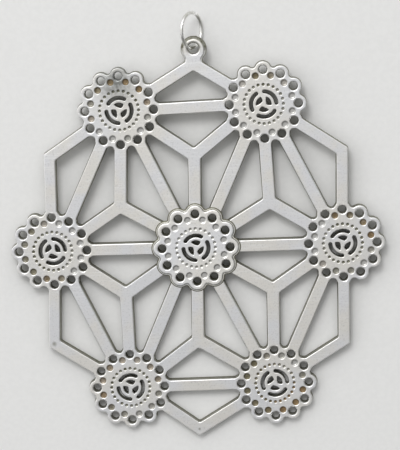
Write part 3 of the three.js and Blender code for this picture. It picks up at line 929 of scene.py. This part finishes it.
# %% [markdown]
# Rosettes. Each is a round plate with twelve lobes, a hole in each lobe, twelve dimples
# between them, a ring of small pits, three curved slots and a swirl of three comma-shaped
# openings. One hole, one dimple, one pit and one opening of each kind is drawn, and
# copies are spun round the middle. The dimples and pits were stamped, so they are bowls
# with a sharp rim. Lobes that carry a bar are cut flat where the bar meets them.

# %% Rosette sizes, in millimetres
DIMPLE_CIRCLE = 7.0
PITS = 24
PIT_CIRCLE = 4.7
SLOTS = 3
SLOT_CIRCLE = 3.03
SLOT_HALF_WIDTH = 0.43
SLOT_HALF_SPAN = math.radians(41)
SLOT_DIRECTION = math.radians(105)
COMMA_OUTER_RADIUS = 1.84
COMMA_CORNER_RADIUS = 0.13
COMMA_TIP = polar(COMMA_OUTER_RADIUS - COMMA_CORNER_RADIUS, math.radians(124))
COMMA_ROOT = polar(COMMA_OUTER_RADIUS - COMMA_CORNER_RADIUS, math.radians(57))
COMMA_INNER = polar(0.86, math.radians(60))
COMMA_EDGE_RADIUS = 3.0
COMMA_ROOT_EDGE_RADIUS = 1.3

LOBE_STEPS = 20
VALLEY_STEPS = 4
HOLE_STEPS = 24
SLOT_STEPS = 12
SLOT_END_STEPS = 8
COMMA_STEPS = 8
COMMA_CORNER_STEPS = 5

# Heights below the face with the radius of a hole, or the growth of a slot or a comma
HOLE_EDGE = (
    (-PLATE_THICKNESS, 0.9),
    (-0.4, 0.99),
    (-0.26, 1.02),
    (-0.14, 1.08),
    (-0.06, 1.16),
    (-0.02, 1.24),
    (0.0, 1.32),
)
OPENING_EDGE = (
    (-PLATE_THICKNESS, -0.08),
    (-0.3, -0.02),
    (-0.16, 0.01),
    (-0.07, 0.06),
    (-0.02, 0.12),
    (0.0, 0.18),
)
print("openings in a rosette:", HOLES, "holes,", SLOTS, "slots,", SLOTS, "commas")


# %% Outlines of a rosette
def draw_scallop(pen, radii):
    """Twelve lobes with a fillet in each valley between them."""
    lobe_radius, valley_radius = radii
    half = LOBE_TURN / 2
    across = HOLE_CIRCLE * math.sin(half)
    reach = lobe_radius + valley_radius
    valley_at = HOLE_CIRCLE * math.cos(half) + math.sqrt(reach**2 - across**2)
    spread = bearing(polar(valley_at, half) - polar(HOLE_CIRCLE, 0))
    pen.move(polar(valley_at - valley_radius, -half))
    for number in range(HOLES):
        turn = number * LOBE_TURN
        pen.arc(polar(valley_at, turn - half), half - spread, VALLEY_STEPS)
        pen.arc(polar(HOLE_CIRCLE, turn), 2 * spread, LOBE_STEPS)
        pen.arc(polar(valley_at, turn + half), half - spread, VALLEY_STEPS)


def draw_lobe_hole(pen, radius):
    draw_circle(pen, radius, polar(HOLE_CIRCLE, 0), HOLE_STEPS)


def draw_slot(pen, growth):
    half = SLOT_HALF_WIDTH + growth
    first = SLOT_DIRECTION - SLOT_HALF_SPAN
    last = SLOT_DIRECTION + SLOT_HALF_SPAN
    pen.move(polar(SLOT_CIRCLE + half, first))
    pen.arc((0, 0), last - first, SLOT_STEPS)
    pen.arc(polar(SLOT_CIRCLE, last), math.pi, SLOT_END_STEPS)
    pen.arc((0, 0), first - last, SLOT_STEPS)
    pen.arc(polar(SLOT_CIRCLE, first), math.pi, SLOT_END_STEPS)


def arc_centre(start, end, radius):
    """Centre of the arc that bulges to the right of the way from start to end."""
    along = end - start
    left = Vector((-along.y, along.x)).normalized()
    return (start + end) / 2 + left * math.sqrt(radius**2 - (along.length / 2) ** 2)


def draw_comma(pen, growth):
    """Three bulging sides with a small round at each corner."""
    corners = (COMMA_ROOT, COMMA_TIP, COMMA_INNER)
    radii = (COMMA_OUTER_RADIUS, COMMA_EDGE_RADIUS, COMMA_ROOT_EDGE_RADIUS)
    sides = []
    for number, radius in enumerate(radii):
        start, end = corners[number], corners[(number + 1) % 3]
        centre = arc_centre(start, end, radius - COMMA_CORNER_RADIUS)
        sides.append((centre, bearing(start - centre), bearing(end - centre)))
    pen.move(polar(COMMA_CORNER_RADIUS + growth, sides[0][1], corners[0]))
    for number, (centre, first, last) in enumerate(sides):
        corner = (number + 1) % 3
        corner_sweep = (sides[corner][1] - last) % (2 * math.pi)
        pen.arc(centre, (last - first) % (2 * math.pi), COMMA_STEPS)
        pen.arc(corners[corner], corner_sweep, COMMA_CORNER_STEPS)


print("outlines ready")

# %% [markdown]
# Stamped bowls. A dimple or a pit starts as a round face that is inset again and again,
# each time a little deeper, along a list of depths and radii. The points below its rim
# are marked as bowl, which the metal's recipe reads. A pit is marked a little less than a
# dimple, so that the two can be told apart when the tarnish is laid in.

# %% Bowls
# What the points of a rosette carry for the metal's recipe
BOWL_LAYERS = ("bowl", "tarnish", "tarnish_hue")

# Depth and radius of the stamped bowls
DIMPLE_PROFILE = (
    (0.0, 0.94),
    (0.015, 0.91),
    (0.05, 0.85),
    (0.12, 0.77),
    (0.2, 0.69),
    (0.27, 0.61),
    (0.31, 0.52),
    (0.33, 0.4),
    (0.335, 0.15),
)
PIT_PROFILE = (
    (0.0, 0.47),
    (0.015, 0.44),
    (0.05, 0.395),
    (0.12, 0.33),
    (0.19, 0.26),
    (0.24, 0.19),
    (0.26, 0.08),
)
DIMPLE_STEPS = 24
PIT_STEPS = 12
DIMPLE_MARK = 1.0
PIT_MARK = 0.9

# The first lines of a profile are the bowl's bright rim, which isn't marked
RIM_LINES = 3


def sink_bowl(bm, centre, height, profile, steps, mark):
    """A stamped bowl. Its points below the rim get the mark as their bowl value."""
    bowl = bm.verts.layers.float["bowl"]
    before = parts_of(bm)
    rim = Matrix.Translation((*centre, height))
    bmesh.ops.create_circle(bm, cap_ends=True, radius=profile[0][1], segments=steps, matrix=rim)
    floor = next(item for item in parts_of(bm) - before if isinstance(item, bmesh.types.BMFace))
    for (depth, radius), (deeper, narrower) in zip(profile, profile[1:]):
        bmesh.ops.inset_individual(
            bm,
            faces=[floor],
            thickness=radius - narrower,
            depth=depth - deeper,
            use_even_offset=True,
        )
    below_rim = height - profile[RIM_LINES - 1][0] - CLOSE
    for item in parts_of(bm) - before:
        if isinstance(item, bmesh.types.BMVert) and item.co.z < below_rim:
            item[bowl] = mark


print("dimple and pit, mm deep:", DIMPLE_PROFILE[-1][0], PIT_PROFILE[-1][0])

# %% [markdown]
# Tarnish in the bowls. The real ornament has it mostly in the dimples that face outwards,
# brown in some and olive in others, with a colour of its own in nearly every one. So each
# rosette has a list of directions, and every point of a bowl blends the entries near its
# own direction. The pits are all somewhat dark, and only one rosette has brown ones.

# %% Tarnish
# For each rosette: direction in degrees, amount, and hue from 0, amber brown, to 1, olive
TARNISH = {
    "centre": (),
    "right": (
        (105, 0.75, 0.15), (75, 0.7, 0.6), (45, 0.75, 0.3), (15, 0.8, 0.0), (345, 0.4, 0.8),
        (255, 0.55, 0.9), (285, 0.5, 0.9), (225, 0.3, 0.1),
    ),
    "top_right": (
        (105, 0.8, 0.65), (75, 0.65, 0.6), (45, 0.25, 0.2), (135, 0.2, 0.2), (270, 0.15, 1.0),
    ),
    "top_left": (
        (45, 0.95, 0.15), (75, 0.9, 0.2), (105, 0.85, 0.35), (15, 0.6, 0.05), (135, 0.8, 0.55),
        (165, 0.5, 0.8), (195, 0.45, 0.1), (345, 0.35, 1.0), (285, 0.3, 1.0),
    ),
    "left": (
        (105, 0.4, 0.3), (135, 0.65, 0.8), (165, 0.6, 0.9), (195, 0.65, 0.8), (225, 0.8, 0.8),
        (255, 0.7, 0.3), (285, 0.6, 0.5),
    ),
    "bottom_left": (
        (75, 0.4, 0.1), (105, 0.5, 0.15), (135, 0.65, 0.15), (165, 0.6, 0.25), (195, 0.75, 0.05),
        (225, 0.6, 0.7), (255, 0.5, 0.8), (285, 0.15, 0.5), (15, 0.55, 0.2), (45, 0.5, 0.1),
        (345, 0.45, 0.9), (315, 0.35, 0.8),
    ),
    "bottom_right": (
        (105, 0.5, 0.6), (135, 0.8, 0.75), (165, 0.85, 0.8), (195, 0.9, 0.8), (225, 0.85, 0.7),
        (255, 0.9, 0.6), (285, 0.95, 0.0), (315, 0.9, 0.1), (345, 0.85, 0.0), (15, 0.5, 0.8),
        (75, 0.3, 0.9),
    ),
}
TARNISH_SPREAD = 28
PIT_TARNISH = 0.5
PIT_SHARE = 0.35
CENTRE_PIT_TARNISH = 0.3
BROWNEST = "bottom_right"


def tarnish_towards(direction, place):
    """Amount and hue of a rosette's tarnish in a direction in degrees."""
    near = []
    for angle, amount, hue in TARNISH[place]:
        away = abs((direction - angle + 180) % 360 - 180)
        near.append((max(0, 1 - away / TARNISH_SPREAD), amount, hue))
    total = sum(weight for weight, _, _ in near)
    amount = sum(weight * amount for weight, amount, _ in near)
    hue = sum(weight * hue for weight, _, hue in near) / total if total > 0 else 1
    return amount, hue


def stain_bowls(bm, place):
    """Gives the points of the bowls the tarnish of the nearest named directions."""
    bowl, amounts, hues = (bm.verts.layers.float[name] for name in BOWL_LAYERS)
    for vert in bm.verts:
        if vert[bowl] > 0:
            amount, hue = tarnish_towards(math.degrees(bearing(vert.co.xy)), place)
            if vert[bowl] < DIMPLE_MARK:
                least = CENTRE_PIT_TARNISH if place == "centre" else PIT_TARNISH
                amount = least + PIT_SHARE * amount
                hue = hue if place == BROWNEST else 1
            vert[amounts] = min(1, amount)
            vert[hues] = hue


print("stained directions:", {place: len(entries) for place, entries in TARNISH.items()})

# %% [markdown]
# Putting a rosette together. It is drawn round the origin: first the scalloped wall, then
# one hole with its dimple, one pit, and one slot with its comma, each with copies all the
# way round, and then the flats between all of them. Still at the origin, it is cut to fit
# its bars, turned and stained, and last of all it is moved to its place.


# %% Rosette maker
def repeat_round(bm, before, count):
    """Copies everything newer than before to count places round the middle."""
    geom = [item for item in parts_of(bm) if item not in before]
    turn = 2 * math.pi / count
    bmesh.ops.spin(
        bm, geom=geom, axis=(0, 0, 1), angle=turn * (count - 1), steps=count - 1, use_duplicate=True
    )


def cut_seats(bm, place, turn):
    """Cuts the lobes flat where bars meet them."""
    for lobe, angle, half_width in seats[place]:
        seat = flare_of(half_width)[1]
        spot = Matrix.Rotation(-turn, 2) @ polar(seat, angle, lobe - ROSETTES[place])
        normal = polar(1, angle - turn)
        cut = bmesh.ops.bisect_plane(
            bm,
            geom=[*bm.verts, *bm.edges, *bm.faces],
            dist=CLOSE / 10,
            plane_co=(*spot, 0),
            plane_no=(*normal, 0),
            clear_outer=True,
        )
        edges = [item for item in cut["geom_cut"] if isinstance(item, bmesh.types.BMEdge)]
        bmesh.ops.contextual_create(bm, geom=edges)


def make_rosette(node, place, base, face, outline, material, bowl_depth=1.0):
    """A pierced plate from height base to height face whose outer wall follows outline."""
    bm = bmesh.new()
    for layer in BOWL_LAYERS:
        bm.verts.layers.float.new(layer)

    def to_plate(edge):
        """Heights below the face become heights, and the lowest one is the plate's back."""
        return [(max(base, face + below), shape) for below, shape in edge]

    def stamp(centre, profile, steps, mark):
        deep = [(depth * bowl_depth, radius) for depth, radius in profile]
        sink_bowl(bm, centre, face, deep, steps, mark)

    raise_wall(bm, draw_scallop, outline)

    before = parts_of(bm)
    raise_wall(bm, draw_lobe_hole, to_plate(HOLE_EDGE))
    stamp(polar(DIMPLE_CIRCLE, LOBE_TURN / 2), DIMPLE_PROFILE, DIMPLE_STEPS, DIMPLE_MARK)
    repeat_round(bm, before, HOLES)

    before = parts_of(bm)
    stamp(polar(PIT_CIRCLE, 0), PIT_PROFILE, PIT_STEPS, PIT_MARK)
    repeat_round(bm, before, PITS)

    before = parts_of(bm)
    raise_wall(bm, draw_slot, to_plate(OPENING_EDGE))
    raise_wall(bm, draw_comma, to_plate(OPENING_EDGE))
    repeat_round(bm, before, SLOTS)

    fill_flats(bm, base, face)
    turn = 2 * LOBE_TURN if place in TURNED else 0
    if place != "centre":
        cut_seats(bm, place, turn)
    bmesh.ops.rotate(bm, matrix=Matrix.Rotation(turn, 3, "Z"), verts=bm.verts)
    stain_bowls(bm, place)
    bmesh.ops.translate(bm, vec=(*ROSETTES[place], 0), verts=bm.verts)
    print(node, "faces:", len(bm.faces), "open edges:", sum(not e.is_manifold for e in bm.edges))
    return finish_piece(node + "_metal", bm, material, node)


print("bowls in a rosette:", HOLES, "dimples,", PITS, "pits")

# %% [markdown]
# The six outer rosettes are flush with the bars and have the same worn edge, so their
# outline follows the bars' heights: a lobe shrinks as much as the valley beside it grows.

# %% Outer rosettes
SCALLOP_EDGE = [
    (height, (LOBE_RADIUS - inset, VALLEY_RADIUS + inset)) for height, inset in CAST_EDGE
]
for place in OUTER:
    make_rosette(
        "rosette_" + place,
        place,
        0.0,
        PLATE_THICKNESS,
        SCALLOP_EDGE,
        rosette_metal,
    )

# %% [markdown]
# The centre rosette is a second casting, soldered on top of the hub that the inner bars
# meet. It has a wide low step that covers the ends of the bars, and its face stands on
# that step. Its bowls are shallower and it kept little tarnish. Painted shade darkens the
# foot of its face, and a dark line of painted shade and tarnish runs along the edge of its
# step.

# %% Centre rosette
CENTRE_FACE = 2.7
CENTRE_BOWL_DEPTH = 0.5

# Heights with the radii of the lobes and of the valleys between them
CENTRE_OUTLINE = (
    (PLATE_THICKNESS, (2.6, 0.4)),
    (2.12, (2.58, 0.42)),
    (2.19, (2.49, 0.51)),
    (2.235, (2.38, 0.62)),
    (2.25, (2.33, 0.64)),
    (2.25, (2.22, 0.68)),
    (2.275, (2.13, 0.69)),
    (2.5, (2.04, 0.76)),
    (2.6, (2.0, 0.8)),
    (2.67, (1.92, 0.88)),
    (CENTRE_FACE, (1.8, 1.0)),
)
make_rosette(
    "centre_rosette",
    "centre",
    PLATE_THICKNESS,
    CENTRE_FACE,
    CENTRE_OUTLINE,
    centre_metal,
    CENTRE_BOWL_DEPTH,
)

# %% [markdown]
# The jump ring is a piece of round wire bent in a circle, its two cut ends a little
# apart. A small circle spun round the ring's middle gives the wire, and bevels ease the
# cut ends.

# %% Jump ring
RING_OUTER_DIAMETER = 9.1
WIRE_DIAMETER = 0.82
WIRE_STEPS = 20
RING_STEPS = 120
RING_TILT = math.radians(58)
RING_GAP = 0.6
RING_GAP_DIRECTION = math.radians(70)
RING_X = 0.65
END_BEVEL = 0.1
END_BEVEL_STEPS = 3

# From the top of the eye's hole down to the wire that passes through it
RING_CLEARANCE = 0.75


def bend_ring():
    wire = WIRE_DIAMETER / 2
    radius = RING_OUTER_DIAMETER / 2 - wire
    half_gap = RING_GAP / radius / 2
    sweep = 2 * math.pi - 2 * half_gap
    bm = bmesh.new()
    section = (
        Matrix.Rotation(RING_GAP_DIRECTION + half_gap, 4, "Z")
        @ Matrix.Translation((radius, 0, 0))
        @ Matrix.Rotation(math.pi / 2, 4, "X")
    )
    bmesh.ops.create_circle(bm, radius=wire, segments=WIRE_STEPS, matrix=section)
    bmesh.ops.spin(bm, geom=bm.edges[:], axis=(0, 0, 1), angle=sweep, steps=RING_STEPS)
    rims = [edge for edge in bm.edges if edge.is_boundary]
    bmesh.ops.holes_fill(bm, edges=rims, sides=0)
    bmesh.ops.bevel(
        bm,
        geom=rims,
        offset=END_BEVEL,
        segments=END_BEVEL_STEPS,
        profile=0.5,
        affect="EDGES",
        material=-1,
        clamp_overlap=True,
    )
    hole_top = EYE_HOLE_CENTRE.y + EYE_HOLE_RADIUS
    middle = hole_top - RING_CLEARANCE - wire + radius
    bmesh.ops.rotate(bm, matrix=Matrix.Rotation(RING_TILT, 3, "Y"), verts=bm.verts)
    bmesh.ops.translate(bm, vec=(RING_X, middle, PLATE_THICKNESS / 2), verts=bm.verts)
    return finish_piece("jump_ring_wire", bm, wire_metal, "jump_ring")


print("ring made:", bend_ring().name)
